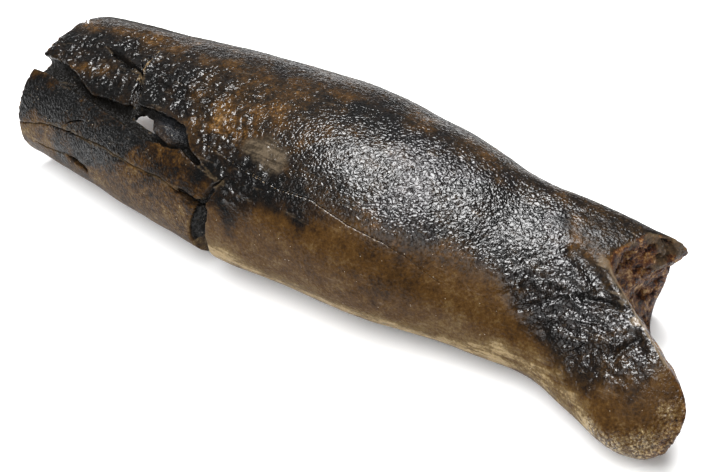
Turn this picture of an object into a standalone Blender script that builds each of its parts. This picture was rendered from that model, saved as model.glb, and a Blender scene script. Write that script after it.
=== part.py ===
"""Fossil tyrannosaur metatarsal: the joint-end half of a long foot bone, split along its length and worn smooth.

It is one solid, lying on its flat side. +X runs from the broken shaft to the flared joint end, -Y is the near side
and +Z is up. A place on its outside is given as millimetres along the bone and a turn round it in degrees: 0 is the
far side, 90 the top, 180 the near side and 270 the underside.
"""

import math

import bmesh
import bpy
from mathutils import Vector, noise

MM = 0.001

# The shaft's cross sections: place along the bone, near side, far side, crest across, crest height,
# height of the widest line, fullness of the near shoulder.
SECTIONS = (
    (-132, -21, 37, 12, 41, 20, 2.2),
    (-100, -27, 39, 11, 46, 22, 2.2),
    (-70, -33, 41, 9, 50, 23, 2.2),
    (-35, -38, 43, 8, 54, 24, 2.2),
    (0, -39, 42, 8, 56, 25, 2.1),
    (35, -37, 37, 10, 52, 24, 2.0),
    (62, -31, 33, 14, 46, 20, 1.9),
    (85, -29, 33, 18, 43, 16, 1.7),
    (105, -35, 33, 20, 40, 12, 1.6),
    (120, -41, 33, 21, 38, 11, 1.6),
    (130, -39, 33, 21, 36, 10, 1.7),
    (142, -31, 33, 21, 33, 11, 1.8),
)
FAR_SHOULDER = 2.1
LOWER_SHOULDER = 2.6
FLAT_CUT = 1.2

# Where each end breaks off: turn round the bone, millimetres along it.
SHAFT_RIM = (
    (10, -110), (45, -120), (75, -124), (95, -125), (120, -125), (150, -124), (190, -124), (225, -121),
    (255, -112), (280, -98), (315, -93), (345, -100),
)
JOINT_RIM = (
    (0, 103), (20, 105), (45, 111), (70, 107), (92, 101), (110, 96), (120, 108), (130, 123), (142, 134),
    (160, 139), (185, 136), (205, 130), (235, 117), (275, 105), (320, 101),
)

# The broken ends: the deepest point of each, how hollow they are, and how far the lobe's own broken face swells.
SHAFT_HOLLOW = (-109, 7, 27)
JOINT_HOLLOW = (97, 12, 20)
FACE_SAG = 1.5
LOBE_SWELL = 5.0
LOBE_START = 118
LOBE_END = 140
FACE_ROUGHNESS = 1.6
FACE_GRAIN = 5.5
FACE_FINE_GRAIN = 2.6

RINGS = 56
POINTS_AROUND = 48
FACE_RINGS = 8

# Low lumps of the worn outside: height and length.
LUMPS = ((0.7, 26.0), (0.35, 11.0))

# The wide split between the upper block and the middle slab. Each row has the upper lip (along, turn), the lower
# lip (along, turn) and the depth. It is shallow where a fragment is still wedged in it.
SPLIT = (
    (-134, 121, -134, 133, 16),
    (-119, 121, -118, 131, 16),
    (-112, 122, -109, 134, 16),
    (-106, 125, -104, 135, 15),
    (-99, 130, -97, 136, 14),
    (-93, 134, -91, 137.5, 13),
    (-87, 132.5, -85, 139, 13),
    (-78, 132, -76, 140.5, 14),
    (-71, 128.5, -69, 142.5, 15),
    (-65, 127.5, -62.5, 144, 14),
    (-60, 128, -57.5, 143, 9),
    (-56, 128.5, -54, 142, 4.5),
    (-50, 129.5, -48, 141, 4.5),
    (-46.5, 134, -45, 141, 8),
    (-43, 139.5, -42.5, 143, 7),
    (-34, 145, -33, 147, 5),
    (-26, 149, -25, 150, 3),
)

# The narrow cracks: name, depth and path along the outside (along, turn, width).
CRACKS = (
    ("cross_crack", 9, ((-80.5, 108, 0.6), (-78, 114, 1), (-76, 120, 1.6), (-73.5, 128, 2.4), (-72, 134, 2.6))),
    ("top_gash", 4, ((-103, 102, 0.4), (-96, 105, 1.4), (-90, 107, 1.6), (-84, 111, 1), (-79, 111.5, 0.6))),
    ("slab_crack", 5, (
        (-131, 180, 0.8), (-118, 177, 0.6), (-108, 167, 0.5), (-99, 161.5, 0.9), (-92, 162.5, 0.5),
        (-84, 161.5, 0.9), (-74, 160.5, 0.5), (-64, 160.5, 0.6), (-54, 161, 0.6), (-44, 161.5, 0.9),
        (-36, 164, 1.3), (-31, 165.5, 1.6),
    )),
    ("slab_end", 5, ((-25.5, 148, 0.5), (-27.5, 152, 1), (-29, 157, 1.3), (-31, 164, 1.8))),
    ("near_gap", 8, (
        (-32, 162, 2.2), (-31, 168, 4.6), (-32, 177, 5.4), (-33, 187, 6.2), (-33, 199, 7), (-32, 213, 4),
    )),
    ("lower_sliver", 3, (
        (-120, 192.5, 0.5), (-108, 191, 0.9), (-98, 187, 0.8), (-92, 187.5, 1.6), (-84, 192, 0.5),
    )),
    ("rim_notch", 5, ((-128, 82, 1.4), (-123, 82, 1.2), (-119.5, 81, 0.5))),
    ("lobe_groove", 1.6, (
        (78, 158, 0.5), (82, 154, 1.6), (87, 146, 2.2), (91, 140, 2), (99, 136, 1), (107, 130, 0.7),
        (113, 124, 0.5),
    )),
    ("lobe_groove_low", 1.4, ((95, 156, 0.5), (98, 150, 1.3), (102, 141, 1.3), (107, 133, 0.9), (113, 125, 0.5))),
    ("lobe_groove_high", 1.2, ((69, 144, 0.5), (72, 139, 1.2), (75, 134, 1.2), (81, 129, 0.5))),
)
CUTTER_RISE = 3.0
CRACK_ROOT = 0.35

# The hole through the split: its corners on the outside, and where it leaves through the broken shaft end.
HOLE_NEAR = ((-70, -22.3, 42), (-67, -20.7, 43.8), (-59, -23, 43.6), (-60.5, -25.3, 42))
HOLE_FAR = ((-113, 22, 1), (-109, 29, 2), (-98, 24, 1.5), (-98.5, 18.5, 1))

SHARP_EDGE = 40
BONE_BROWN = (0.075, 0.043, 0.022, 1.0)
BONE_ROUGHNESS = 0.45


def clear_scene():
    for old in list(bpy.data.objects):
        bpy.data.objects.remove(old, do_unlink=True)


def new_collection(name):
    group = bpy.data.collections.new(name)
    bpy.context.scene.collection.children.link(group)
    return group


def spline(values, stations, x):
    """The smooth curve through the values at the stations, read at x."""
    last = len(stations) - 2
    i = min(last, sum(1 for s in stations[1:-1] if x >= s))
    run = stations[i + 1] - stations[i]
    slope = (values[i + 1] - values[i]) / run
    before = slope
    after = slope
    if i > 0:
        before = (values[i + 1] - values[i - 1]) / (stations[i + 1] - stations[i - 1])
    if i < last:
        after = (values[i + 2] - values[i]) / (stations[i + 2] - stations[i])
    t = (x - stations[i]) / run
    blend = 3 * t**2 - 2 * t**3
    level = values[i] * (1 - blend) + values[i + 1] * blend
    return level + run * (before * (t**3 - 2 * t**2 + t) + after * (t**3 - t**2))


def rim_at(rim, turn):
    """Where an end's rim lies along the bone at this turn."""
    around = [(a - 360, x) for a, x in rim[-3:]] + list(rim) + [(a + 360, x) for a, x in rim[:3]]
    return spline([x for _, x in around], [a for a, _ in around], turn % 360)


def section_at(x):
    """The six section values at this place along the bone."""
    stations = [row[0] for row in SECTIONS]
    return [spline([row[k] for row in SECTIONS], stations, x) for k in range(1, 7)]


def surface(x, turn):
    """A point of the bone's outside."""
    near, far, crest, top, side, shoulder = section_at(x)
    c, s = math.cos(math.radians(turn)), math.sin(math.radians(turn))
    power = LOWER_SHOULDER if s <= 0 else FAR_SHOULDER if c > 0 else shoulder
    reach = (abs(c) ** power + abs(s) ** power) ** (-1 / power)
    y = (far - crest if c > 0 else crest - near) * reach * c
    z = (top - side if s > 0 else side + FLAT_CUT) * reach * s
    point = Vector((x, crest + y, side + z))
    rise = sum(height * noise.noise(point / length) for height, length in LUMPS)
    point += rise * Vector((0, y, z)).normalized()
    point.z = max(point.z, 0.0)
    return point


def outward(x, turn):
    """The way straight out of the bone's outside."""
    along = surface(x + 1, turn) - surface(x - 1, turn)
    around = surface(x, turn + 1) - surface(x, turn - 1)
    return along.cross(around).normalized()


def face_point(rim, hollow, inward, way):
    """A point of a broken end, between its rim and its hollow; way is +1 at the joint end and -1 at the shaft."""
    point = rim.lerp(Vector(hollow), inward)
    thickness = max(0.0, (rim.x - LOBE_START) / (LOBE_END - LOBE_START))
    point.x += way * 4 * inward * (1 - inward) * (LOBE_SWELL * thickness - FACE_SAG)
    rough = noise.noise(point / FACE_GRAIN) + 0.5 * noise.noise(point / FACE_FINE_GRAIN)
    point.x += FACE_ROUGHNESS * rough * min(1.0, 5 * inward)
    point.z = max(point.z, 0.0)
    return point


def finish_mesh(bm, name, group):
    """Closes the mesh work and makes the object."""
    bmesh.ops.triangulate(bm, faces=bm.faces)
    bmesh.ops.recalc_face_normals(bm, faces=bm.faces)
    mesh = bpy.data.meshes.new(name)
    bm.to_mesh(mesh)
    bm.free()
    made = bpy.data.objects.new(name, mesh)
    group.objects.link(made)
    return made


def loft(bm, loops):
    """Skins the loops, which all have the same number of points, and returns their rings of vertices."""
    rings = [[bm.verts.new(MM * p) for p in loop] for loop in loops]
    count = len(rings[0])
    for a, b in zip(rings, rings[1:]):
        for k in range(count):
            j = (k + 1) % count
            bm.faces.new((a[k], a[j], b[j], b[k]))
    return rings


def build_bone(group):
    """The solid bone: rings along the shaft, closed by the two broken ends."""
    turns = [360 * k / POINTS_AROUND for k in range(POINTS_AROUND)]
    starts = [rim_at(SHAFT_RIM, turn) for turn in turns]
    ends = [rim_at(JOINT_RIM, turn) for turn in turns]
    steps = [j / FACE_RINGS for j in range(1, FACE_RINGS)]
    loops = [[face_point(surface(a, t), SHAFT_HOLLOW, s, -1) for a, t in zip(starts, turns)] for s in steps[::-1]]
    for i in range(RINGS + 1):
        loops.append([surface(a + (b - a) * i / RINGS, t) for a, b, t in zip(starts, ends, turns)])
    loops += [[face_point(surface(b, t), JOINT_HOLLOW, s, 1) for b, t in zip(ends, turns)] for s in steps]
    bm = bmesh.new()
    rings = loft(bm, loops)
    for ring, hollow in ((rings[0], SHAFT_HOLLOW), (rings[-1], JOINT_HOLLOW)):
        deepest = bm.verts.new(MM * Vector(hollow))
        for k in range(POINTS_AROUND):
            bm.faces.new((ring[k], ring[(k + 1) % POINTS_AROUND], deepest))
    return finish_mesh(bm, "metatarsal", group)


def make_cutter(name, sections, group):
    """A closed cutter through its sections."""
    bm = bmesh.new()
    rings = loft(bm, sections)
    bm.faces.new(rings[0])
    bm.faces.new(rings[-1])
    cutter = finish_mesh(bm, name, group)
    cutter.hide_render = True
    cutter.display_type = "WIRE"
    return cutter


def wedge(upper, lower, out, depth):
    """One section of a crack: two lips standing out of the bone, two corners at its root."""
    root = (upper + lower) / 2 - out * depth
    half = (upper - lower) / 2 * CRACK_ROOT
    rise = CUTTER_RISE / depth
    upper_lip = upper + (upper - root - half) * rise
    lower_lip = lower + (lower - root + half) * rise
    return [upper_lip, lower_lip, root - half, root + half]


def split_cutter(group):
    sections = []
    for upper_x, upper_turn, lower_x, lower_turn, depth in SPLIT:
        out = outward((upper_x + lower_x) / 2, (upper_turn + lower_turn) / 2)
        sections.append(wedge(surface(upper_x, upper_turn), surface(lower_x, lower_turn), out, depth))
    return make_cutter("split", sections, group)


def crack_cutter(name, depth, path, group):
    points = [surface(x, turn) for x, turn, _ in path]
    sections = []
    for i, (x, turn, width) in enumerate(path):
        along = points[min(i + 1, len(points) - 1)] - points[max(i - 1, 0)]
        out = outward(x, turn)
        across = out.cross(along).normalized() * width / 2
        sections.append(wedge(points[i] + across, points[i] - across, out, depth))
    return make_cutter(name, sections, group)


def hole_cutter(group):
    near = [Vector(p) for p in HOLE_NEAR]
    far = [Vector(p) for p in HOLE_FAR]
    raised = [p + (p - q).normalized() * CUTTER_RISE for p, q in zip(near, far)]
    return make_cutter("hole", [raised, far], group)


def cut(bone, cutter):
    """Takes the cutter out of the bone."""
    boolean = bone.modifiers.new(cutter.name, "BOOLEAN")
    boolean.operation = "DIFFERENCE"
    boolean.solver = "EXACT"
    boolean.object = cutter


def fossil_bone():
    material = bpy.data.materials.new("fossil_bone")
    material.use_nodes = True
    shader = material.node_tree.nodes["Principled BSDF"]
    shader.inputs["Base Color"].default_value = BONE_BROWN
    shader.inputs["Roughness"].default_value = BONE_ROUGHNESS
    return material


def settle_on_origin(bone, cutters):
    """Moves the bone's mesh, with its cutters, until the middle of its underside is at the origin."""
    corners = [Vector(c) for c in bone.bound_box]
    low = Vector([min(c[k] for c in corners) for k in range(3)])
    high = Vector([max(c[k] for c in corners) for k in range(3)])
    shift = Vector((-(low.x + high.x) / 2, -(low.y + high.y) / 2, -low.z))
    for made in [bone] + cutters:
        for vertex in made.data.vertices:
            vertex.co += shift


clear_scene()
bone_group = new_collection("metatarsal")
cutter_group = new_collection("cutters")
metatarsal = build_bone(bone_group)
metatarsal.data.materials.append(fossil_bone())
all_cutters = [split_cutter(cutter_group), hole_cutter(cutter_group)]
all_cutters += [crack_cutter(name, depth, path, cutter_group) for name, depth, path in CRACKS]
for one_cutter in all_cutters:
    cut(metatarsal, one_cutter)
settle_on_origin(metatarsal, all_cutters)
metatarsal.data.shade_smooth()
metatarsal.data.set_sharp_from_angle(angle=math.radians(SHARP_EDGE))
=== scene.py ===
"""The look of a fossil tyrannosaur metatarsal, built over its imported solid.

Sizes are in millimetres. A place on the bone is its x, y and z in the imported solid's frame, or millimetres
along it and a turn about its middle line in degrees: 0 is the far side, 90 the top, 180 the near side and 270
the underside. The broken shaft is at -X and the joint end at +X.
"""

import math

import bmesh
import bpy
import numpy as np
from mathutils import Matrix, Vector, kdtree, noise


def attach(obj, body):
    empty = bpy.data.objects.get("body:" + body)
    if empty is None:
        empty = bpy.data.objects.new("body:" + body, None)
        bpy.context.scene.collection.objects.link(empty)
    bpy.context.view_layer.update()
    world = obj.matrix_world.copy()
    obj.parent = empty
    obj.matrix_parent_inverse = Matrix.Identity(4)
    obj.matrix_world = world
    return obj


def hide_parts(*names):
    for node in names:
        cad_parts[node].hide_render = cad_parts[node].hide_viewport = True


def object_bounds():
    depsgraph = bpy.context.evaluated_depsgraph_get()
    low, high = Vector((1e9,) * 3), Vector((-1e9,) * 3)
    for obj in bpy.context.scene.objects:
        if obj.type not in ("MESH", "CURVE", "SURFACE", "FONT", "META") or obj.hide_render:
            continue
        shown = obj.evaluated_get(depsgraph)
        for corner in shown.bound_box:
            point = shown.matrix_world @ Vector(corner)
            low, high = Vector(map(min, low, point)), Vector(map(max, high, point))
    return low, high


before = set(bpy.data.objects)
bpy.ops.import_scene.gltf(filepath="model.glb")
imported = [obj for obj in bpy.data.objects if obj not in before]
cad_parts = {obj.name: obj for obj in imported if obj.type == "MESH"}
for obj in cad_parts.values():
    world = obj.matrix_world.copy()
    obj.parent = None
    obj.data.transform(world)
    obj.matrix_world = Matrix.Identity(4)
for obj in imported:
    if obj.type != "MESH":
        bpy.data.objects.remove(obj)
cad_low, cad_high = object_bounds()

# Metatarsal
# The real piece is half of a foot bone turned to stone: one solid lump, worn smooth and then broken, with a
# split shaft on the left and a flared joint with one lobe on the right. A thin glossy skin of close-grained
# bone, stained brown and black by the ground, covers a reddish spongy inside.

MM = 0.001
MIDDLE_Y, MIDDLE_Z = 5, 21

# A fine mesh of the solid, rounded off up to its broken edges.
MERGE_GAP = 0.001
VOXEL = 0.6
BROKEN_EDGE_ANGLE = 38
EDGE_KEPT = 0.8
EDGE_FREE = 3.5
EDGE_WEAR = 0.2
ROUNDING_PASSES = 50
ROUNDING = 0.6
WEAR_STEPS = 10


def new_object(name, mesh):
    made = bpy.data.objects.new(name, mesh)
    bpy.context.scene.collection.objects.link(made)
    return made


def apply_modifiers(piece):
    """Turns the piece and its live modifiers into a plain mesh."""
    ready = piece.evaluated_get(bpy.context.evaluated_depsgraph_get())
    old = piece.data
    piece.data = bpy.data.meshes.new_from_object(ready)
    piece.modifiers.clear()
    bpy.data.meshes.remove(old)


def merged_copy(node):
    """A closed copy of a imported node, whose own mesh is loose triangles."""
    bm = bmesh.new()
    bm.from_mesh(node.data)
    bmesh.ops.remove_doubles(bm, verts=bm.verts, dist=MERGE_GAP * MM)
    return bm


def places_on_broken_edges(bm):
    """Places along every sharp outer edge of the solid, a voxel apart."""
    places = []
    for edge in bm.edges:
        if edge.is_manifold and edge.calc_face_angle_signed() > math.radians(BROKEN_EDGE_ANGLE):
            a, b = edge.verts[0].co, edge.verts[1].co
            steps = max(1, round((b - a).length / (VOXEL * MM)))
            places += [a.lerp(b, k / steps) for k in range(steps + 1)]
    return places


def smooth_step(value, low, high):
    t = np.clip((value - low) / (high - low), 0, 1)
    return t * t * (3 - 2 * t)


def vertex_places(mesh):
    """The mesh's vertices, in millimetres."""
    values = np.empty(len(mesh.vertices) * 3)
    mesh.vertices.foreach_get("co", values)
    return values.reshape(-1, 3) / MM


def vertex_normals(mesh):
    values = np.empty(len(mesh.vertices) * 3)
    mesh.vertex_normals.foreach_get("vector", values)
    return values.reshape(-1, 3)


def search_tree(places):
    tree = kdtree.KDTree(len(places))
    for i, place in enumerate(places):
        tree.insert(place, i)
    tree.balance()
    return tree


def distance_to(tree, points):
    return np.array([tree.find(p)[2] for p in points])


# The unbroken outside, as a radius for each place along the bone and turn, across the split and the cracks.
LEVEL_START, LEVEL_ROW, LEVEL_ROWS = -134, 2.0, 134
LEVEL_TURN, LEVEL_TURNS = 2.0, 180
LAST_PLACE = LEVEL_ROWS - 1.001
GAP_TURNS, GAP_ROWS = 5, 2


def spread(grid, pick):
    """The highest or lowest of each cell and the cells round it; the turns join up, the ends don't."""
    wide = grid
    for step in range(1, GAP_TURNS + 1):
        wide = pick(wide, pick(np.roll(grid, step, axis=1), np.roll(grid, -step, axis=1)))
    far = wide
    for step in range(1, GAP_ROWS + 1):
        ahead = np.vstack([wide[step:], np.repeat(wide[-1:], step, axis=0)])
        behind = np.vstack([np.repeat(wide[:1], step, axis=0), wide[:-step]])
        far = pick(far, pick(ahead, behind))
    return far


def turn_and_radius(points):
    y, z = points[:, 1] - MIDDLE_Y, points[:, 2] - MIDDLE_Z
    return np.degrees(np.arctan2(z, y)) % 360, np.hypot(y, z)


def outer_level(points):
    """The unbroken outside of these points, in rows along the bone and columns round it."""
    turn, radius = turn_and_radius(points)
    rows = np.clip((points[:, 0] - LEVEL_START) / LEVEL_ROW, 0, LEVEL_ROWS - 1).astype(int)
    columns = (turn / LEVEL_TURN).astype(int) % LEVEL_TURNS
    level = np.zeros((LEVEL_ROWS, LEVEL_TURNS))
    np.maximum.at(level, (rows, columns), radius)
    return spread(spread(level, np.maximum), np.minimum)


def level_at(level, along, turn):
    """The outer level read between its cells."""
    row = np.clip((along - LEVEL_START) / LEVEL_ROW - 0.5, 0, LAST_PLACE)
    column = np.asarray(turn) / LEVEL_TURN - 0.5
    i, j = np.floor(row).astype(int), np.floor(column).astype(int)
    a, b = row - i, column - j
    near_row = level[i, j % LEVEL_TURNS] * (1 - b) + level[i, (j + 1) % LEVEL_TURNS] * b
    next_row = level[i + 1, j % LEVEL_TURNS] * (1 - b) + level[i + 1, (j + 1) % LEVEL_TURNS] * b
    return near_row * (1 - a) + next_row * a


def on_outside(along, turn, lift=0.0):
    """A place on the bridged outside, lifted out of it or sunk into it."""
    radius = float(level_at(level, along, turn)) + lift
    around = math.radians(turn)
    return Vector((along, MIDDLE_Y + radius * math.cos(around), MIDDLE_Z + radius * math.sin(around)))


LINE_BORDER = (0.1, 1.0)


def along_lines(lines, points):
    """1 along the middle of each line, falling to 0 at its half width."""
    most = np.zeros(len(points))
    for half_width, line in lines:
        for a, b in zip(np.array(line[:-1], float), np.array(line[1:], float)):
            run = b - a
            share = np.clip((points - a) @ run / (run @ run), 0, 1)
            away = np.linalg.norm(points - a - share[:, None] * run, axis=1) / half_width
            most = np.maximum(most, 1 - smooth_step(away, *LINE_BORDER))
    return most


solid = merged_copy(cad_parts["metatarsal"])
broken_edges = search_tree([p / MM for p in places_on_broken_edges(solid)])

bone = new_object("fossil_metatarsal", bpy.data.meshes.new("fossil_metatarsal"))
solid.to_mesh(bone.data)
remesh = bone.modifiers.new("fine_mesh", "REMESH")
remesh.mode = "VOXEL"
remesh.voxel_size = VOXEL * MM
apply_modifiers(bone)

# The solid's grooves on the lobe are plain slots. They are filled up to the outside here, and soft creases
# take their place in the relief. The lip, a ridge from the neck down to the lobe's end, is left as it is.
SLOTS = (
    ((61, -21, 36), (65, -17, 36), (70, -12, 36), (76, -10, 36)),
    ((70, -25, 29), (74, -24, 28), (79, -20, 29), (84.5, -18, 30.5), (90, -15, 30.5), (97, -13, 31)),
    ((86, -29, 23), (91, -23, 25), (98, -17, 29), (105, -14, 30.5)),
    ((104, -31, 19), (105, -24, 24), (106, -18, 28), (107, -15, 29.5)),
)
SLOT_REACH = 5
SLOT_BORDER = (0.05, 0.3)
LIP = ((90, -1, 38), (96, -5, 36), (102, -9, 33), (109, -13, 32), (114, -17, 30), (119, -21, 28),
       (123, -26, 25))
LIP_CLEAR = 5
SOFT_FROM, SOFT_TO = (55, 60), (103, 106)
LOBE_SIDE, LOBE_TO = (13, 17), (108, 112)

points = vertex_places(bone.data)
level = outer_level(points)
turn, radius = turn_and_radius(points)
slot = along_lines([(SLOT_REACH, line) for line in SLOTS], points)
slot = smooth_step(slot, *SLOT_BORDER) * (1 - along_lines([(LIP_CLEAR, LIP)], points))
lift = np.clip(level_at(level, points[:, 0], turn) - radius, 0, SLOT_REACH) * slot
points[:, 1] += lift * np.cos(np.radians(turn))
points[:, 2] += lift * np.sin(np.radians(turn))
bone.data.vertices.foreach_set("co", (points * MM).ravel())
edge_distance = distance_to(broken_edges, points)
soft_grooves = smooth_step(points[:, 0], *SOFT_FROM) * (1 - smooth_step(points[:, 0], *SOFT_TO))
lobe_side = smooth_step(-points[:, 1], *LOBE_SIDE) * (1 - smooth_step(points[:, 0], *LOBE_TO))
soft_grooves = np.maximum(soft_grooves, slot * lobe_side)
kept = np.maximum(smooth_step(edge_distance, EDGE_KEPT, EDGE_FREE), EDGE_WEAR)
looseness = np.round(WEAR_STEPS * np.maximum(kept, soft_grooves))
worn_group = bone.vertex_groups.new(name="worn_round")
for step in range(1, WEAR_STEPS + 1):
    worn_group.add(np.flatnonzero(looseness == step).tolist(), step / WEAR_STEPS, "REPLACE")
rounding = bone.modifiers.new("worn_round", "SMOOTH")
rounding.factor = ROUNDING
rounding.iterations = ROUNDING_PASSES
rounding.vertex_group = worn_group.name
apply_modifiers(bone)
bone.vertex_groups.clear()

# Where each kind of surface lies. Each is kept on the mesh as an attribute from 0 to 1. A spot is its x, y, z
# and radius, and a line is its half width and its points. The stray makes their borders ragged.
STRAY_SEED = 1
STRAY = ((15.0, 6.0), (6.0, 3.0), (2.5, 1.2))
SPOT_BORDER = (0.2, 1.4)
BROAD_VOXEL = 3.5
CREASE = ((-60, 137), (-48, 140), (-29, 145), (-12, 147), (14, 150), (30, 150), (42, 148), (52, 148),
          (61, 150), (69, 162), (77, 172), (84, 178), (91, 183), (98, 185), (106, 178), (113, 172),
          (118, 165), (124, 160))
WORN_PATCH = ((-24, -22, 50, 6), (-19, -24, 49, 6), (-29, -22, 49, 4))
GLOSSY_BLACK = ((-44, -27, 45, 8), (-36, -30, 44, 8), (-28, -31, 44, 8), (-20, -32, 43, 7),
                (-12, -33, 43, 6), (-4, -33, 42, 5))
GROOVES = (
    (2.2, ((72, -24, 29), (78, -19, 31), (86, -15, 33), (94, -11, 34), (99, -9, 34))),
    (2.2, ((90, -26, 25), (94, -20, 28), (100, -16, 30.5), (105, -13, 31))),
    (1.8, ((63, -22, 35), (68, -15, 37), (74, -10, 38))),
    (1.8, ((104, -24, 27), (107, -19, 29.5), (110, -16, 30.5))),
    (1.6, ((78, -18, 32), (82, -13, 35), (86, -11, 35))),
)
WRINKLED = ((-115, -8, 42, 16), (-98, -8, 45, 16), (-84, -4, 48, 16), (-68, -6, 50, 14), (-52, -12, 50, 16),
            (-42, -20, 48, 12), (-36, -28, 45, 9), (-28, -31, 44, 8), (-18, -32, 43, 6), (-100, 8, 47, 12))
PLATED = ((70, -17, 35, 9), (79, -20, 31, 12), (88, -18, 31, 12), (96, -24, 26, 12), (105, -22, 27, 11),
          (111, -25, 24, 9), (97, -12, 33, 6), (104, -30, 21, 6))
LOBE_TIP = ((124, -33, 18, 12), (132, -28, 18, 8), (127, -23, 23, 6), (128, -38, 10, 14), (118, -41, 10, 9))
GRANULAR = ((130, -27, 22, 6), (133, -31, 17, 8), (131, -35, 12, 8), (124, -39, 9, 8), (116, -42, 9, 7),
            (108, -41, 10, 5))
FAR_TIP = ((94, 18, 37, 5), (98, 21, 37, 6), (101, 24, 35, 6), (92, 12, 40, 4), (98, 21, 32, 6))
BLACK = ((-123, 1, 43, 9), (-115, 2, 44, 9), (-104, 2, 46, 9), (-92, 0, 47, 9), (-78, -7, 48, 11),
         (-108, -13, 42, 4), (-101, -15, 42, 5), (-95, -17, 42, 5), (-88, -14, 45, 6), (-95, -8, 46, 5),
         (-77, -14, 47, 9), (-63, -13, 49, 7), (-69, -2, 51, 8), (-39, -29, 44, 9), (-30, -30, 44, 9),
         (-22, -31, 44, 8), (-13, -32, 44, 7), (-5, -32, 43, 6), (3, -33, 42, 5), (-30, -36, 38, 8),
         (-25, -38, 34, 8), (-4, 8, 56, 7), (6, 6, 55, 8), (17, 2, 54, 9), (28, 0, 52, 9), (40, -1, 49, 9),
         (50, 1, 46, 8), (58, 1, 44, 8), (67, 3, 43, 6), (72, -18, 34, 8), (84, -20, 30, 10),
         (95, -24, 26, 10), (105, -26, 25, 10), (112, -24, 25, 7), (101, -31, 21, 6))
RUST = ((-112, 14, 45, 8), (-98, 14, 47, 8), (-86, 14, 48, 8), (-69, 9, 51, 8), (-59, 6, 52, 8),
        (-63, -1, 51, 5), (-124, 13, 44, 8), (-114, -7, 43, 4), (-108, -8, 43, 4), (-103, -10, 44, 4),
        (-48, 4, 53, 8), (-33, 5, 55, 8), (-16, 10, 56, 8), (-61, -8, 51, 5), (-52, -14, 50, 6),
        (-45, -15, 51, 6), (-45, -21, 49, 6), (-47, -8, 52, 5), (-52, -20, 48, 6), (-41, -20, 49, 4),
        (12, 15, 53, 7), (34, 16, 50, 8), (-32, -8, 54, 7), (-11, -8, 55, 7), (73, 4, 42, 6),
        (79, 1, 41, 6), (86, -1, 39, 5), (20, -30, 43, 5), (36, -26, 42, 6), (48, -22, 40, 6))
CHARCOAL = ((-126, -19, 32, 9), (-122, -20, 34, 9), (-112, -22, 35, 10), (-96, -25, 37, 11),
            (-84, -28, 36, 11), (-74, -29, 37, 8), (-102, -29, 28, 6), (-91, -31, 28, 7),
            (-110, -17, 38, 6), (-108, -27, 21, 5), (-97, -30, 22, 5))
OCHRE = ((-124, -25, 22, 6), (-113, -28, 24, 4), (-70, -36, 25, 9), (-56, -38, 24, 10), (-49, -39, 22, 9),
         (-63, -35, 15, 9), (-86, -33, 17, 8), (-122, 20, 41, 7), (-110, 18, 43, 6))
# The lighter tan band along the lower edge is partly the bone's tan and partly a painted reflection of the
# white floor.
TAN = (
    (8.0, ((-47, -36, 12), (-26, -40, 15), (-8, -38, 9), (13, -39, 10), (30, -36, 9), (43, -33, 9),
           (56, -32, 10), (70, -30, 12), (80, -31, 12), (93, -35, 10), (103, -38, 9))),
    (9.0, ((62, -33, 14), (72, -31, 16), (82, -31, 16), (92, -35, 14), (100, -38, 12))),
)
MATT = ((70, 5, 43, 7), (76, 3, 42, 8), (82, 2, 41, 8), (87, -1, 39, 7), (88, 5, 38, 6), (79, 12, 43, 7),
        (86, 12, 42, 8), (92, 10, 40, 7), (97, 15, 38, 6))
RIDGE = ((2.8, ((87, 0, 39), (90, -2, 37), (96, -6, 35), (100, -8, 34))),)
TROUGH = ((4.0, ((78, -2, 41), (85, -4, 38), (92, -8, 35), (98, -11, 33), (104, -15, 31), (110, -19, 29))),)
CREST = ((-90, 85), (-89, 94), (-88, 101), (-87, 113), (-86, 121))
CREST_HALF_WIDTH, LIP_HALF_WIDTH = 0.8, 3.5
LINE_STRAY = {"tan": 0.6, "groove": 0.35, "ridge": 0.3}

# Borders between the kinds, each from where one starts to where it is full: places along the bone, turns,
# depths below the outside, turns past the long crease, distances from a broken edge, and how far the fine or
# the broad surface faces along the bone.
SPLIT_TO, JOINT_FROM, PEBBLES_TO = (-16, -12), (82, 92), (85, 105)
SHAFT_END_FROM, SLAB_FROM, DULLEST_FROM = (88, 98), (36, 42), (40, 70)
WALL_DEPTH, WALL_TURN = (0.5, 1.4), (70, 80)
UNDER_FROM, UNDER_TO, NEAR_TO, FAR_FROM = (215, 235), (330, 350), (315, 352), (42, 76)
NEAR_FROM, LOW_FROM = (-7, 8), (8, 45)
SHINE_TURN, SHINE_TO, SHINE_FROM = (104, 116), (-10, -3), (-16, -4)
RIM, SHARP_EDGE, EDGE_TO, LIP_EDGE = (0.5, 3.5), (0.2, 1.0), (50, 56), (0.3, 1.3)
JOINT_FACING, SHAFT_FACING, BROAD_FACING, TIP_FACING = (0.3, 0.6), (0.35, 0.65), (0.3, 0.5), (0.0, 0.3)

noise.seed_set(STRAY_SEED)


def strayed(points):
    """The points pushed about, so that whatever is laid out on them gets a ragged outline."""
    pushed = points.copy()
    for length, amount in STRAY:
        pushed += amount * np.array([noise.noise_vector(p) for p in points / length])
    return pushed


def near(spots, points):
    """1 at the spots, falling to 0 past their radius."""
    most = np.zeros(len(points))
    for x, y, z, radius in spots:
        away = np.linalg.norm(points - (x, y, z), axis=1) / radius
        most = np.maximum(most, 1 - smooth_step(away, *SPOT_BORDER))
    return most


def broad_normals(points):
    """Which way the bone faces near each point, with the cracks and grooves left out."""
    coarse = new_object("coarse", bpy.data.meshes.new("coarse"))
    solid.to_mesh(coarse.data)
    blocks = coarse.modifiers.new("blocks", "REMESH")
    blocks.mode = "VOXEL"
    blocks.voxel_size = BROAD_VOXEL * MM
    apply_modifiers(coarse)
    tree = search_tree(vertex_places(coarse.data))
    normals = vertex_normals(coarse.data)
    bpy.data.objects.remove(coarse)
    return normals[[tree.find(p)[1] for p in points]]


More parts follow.
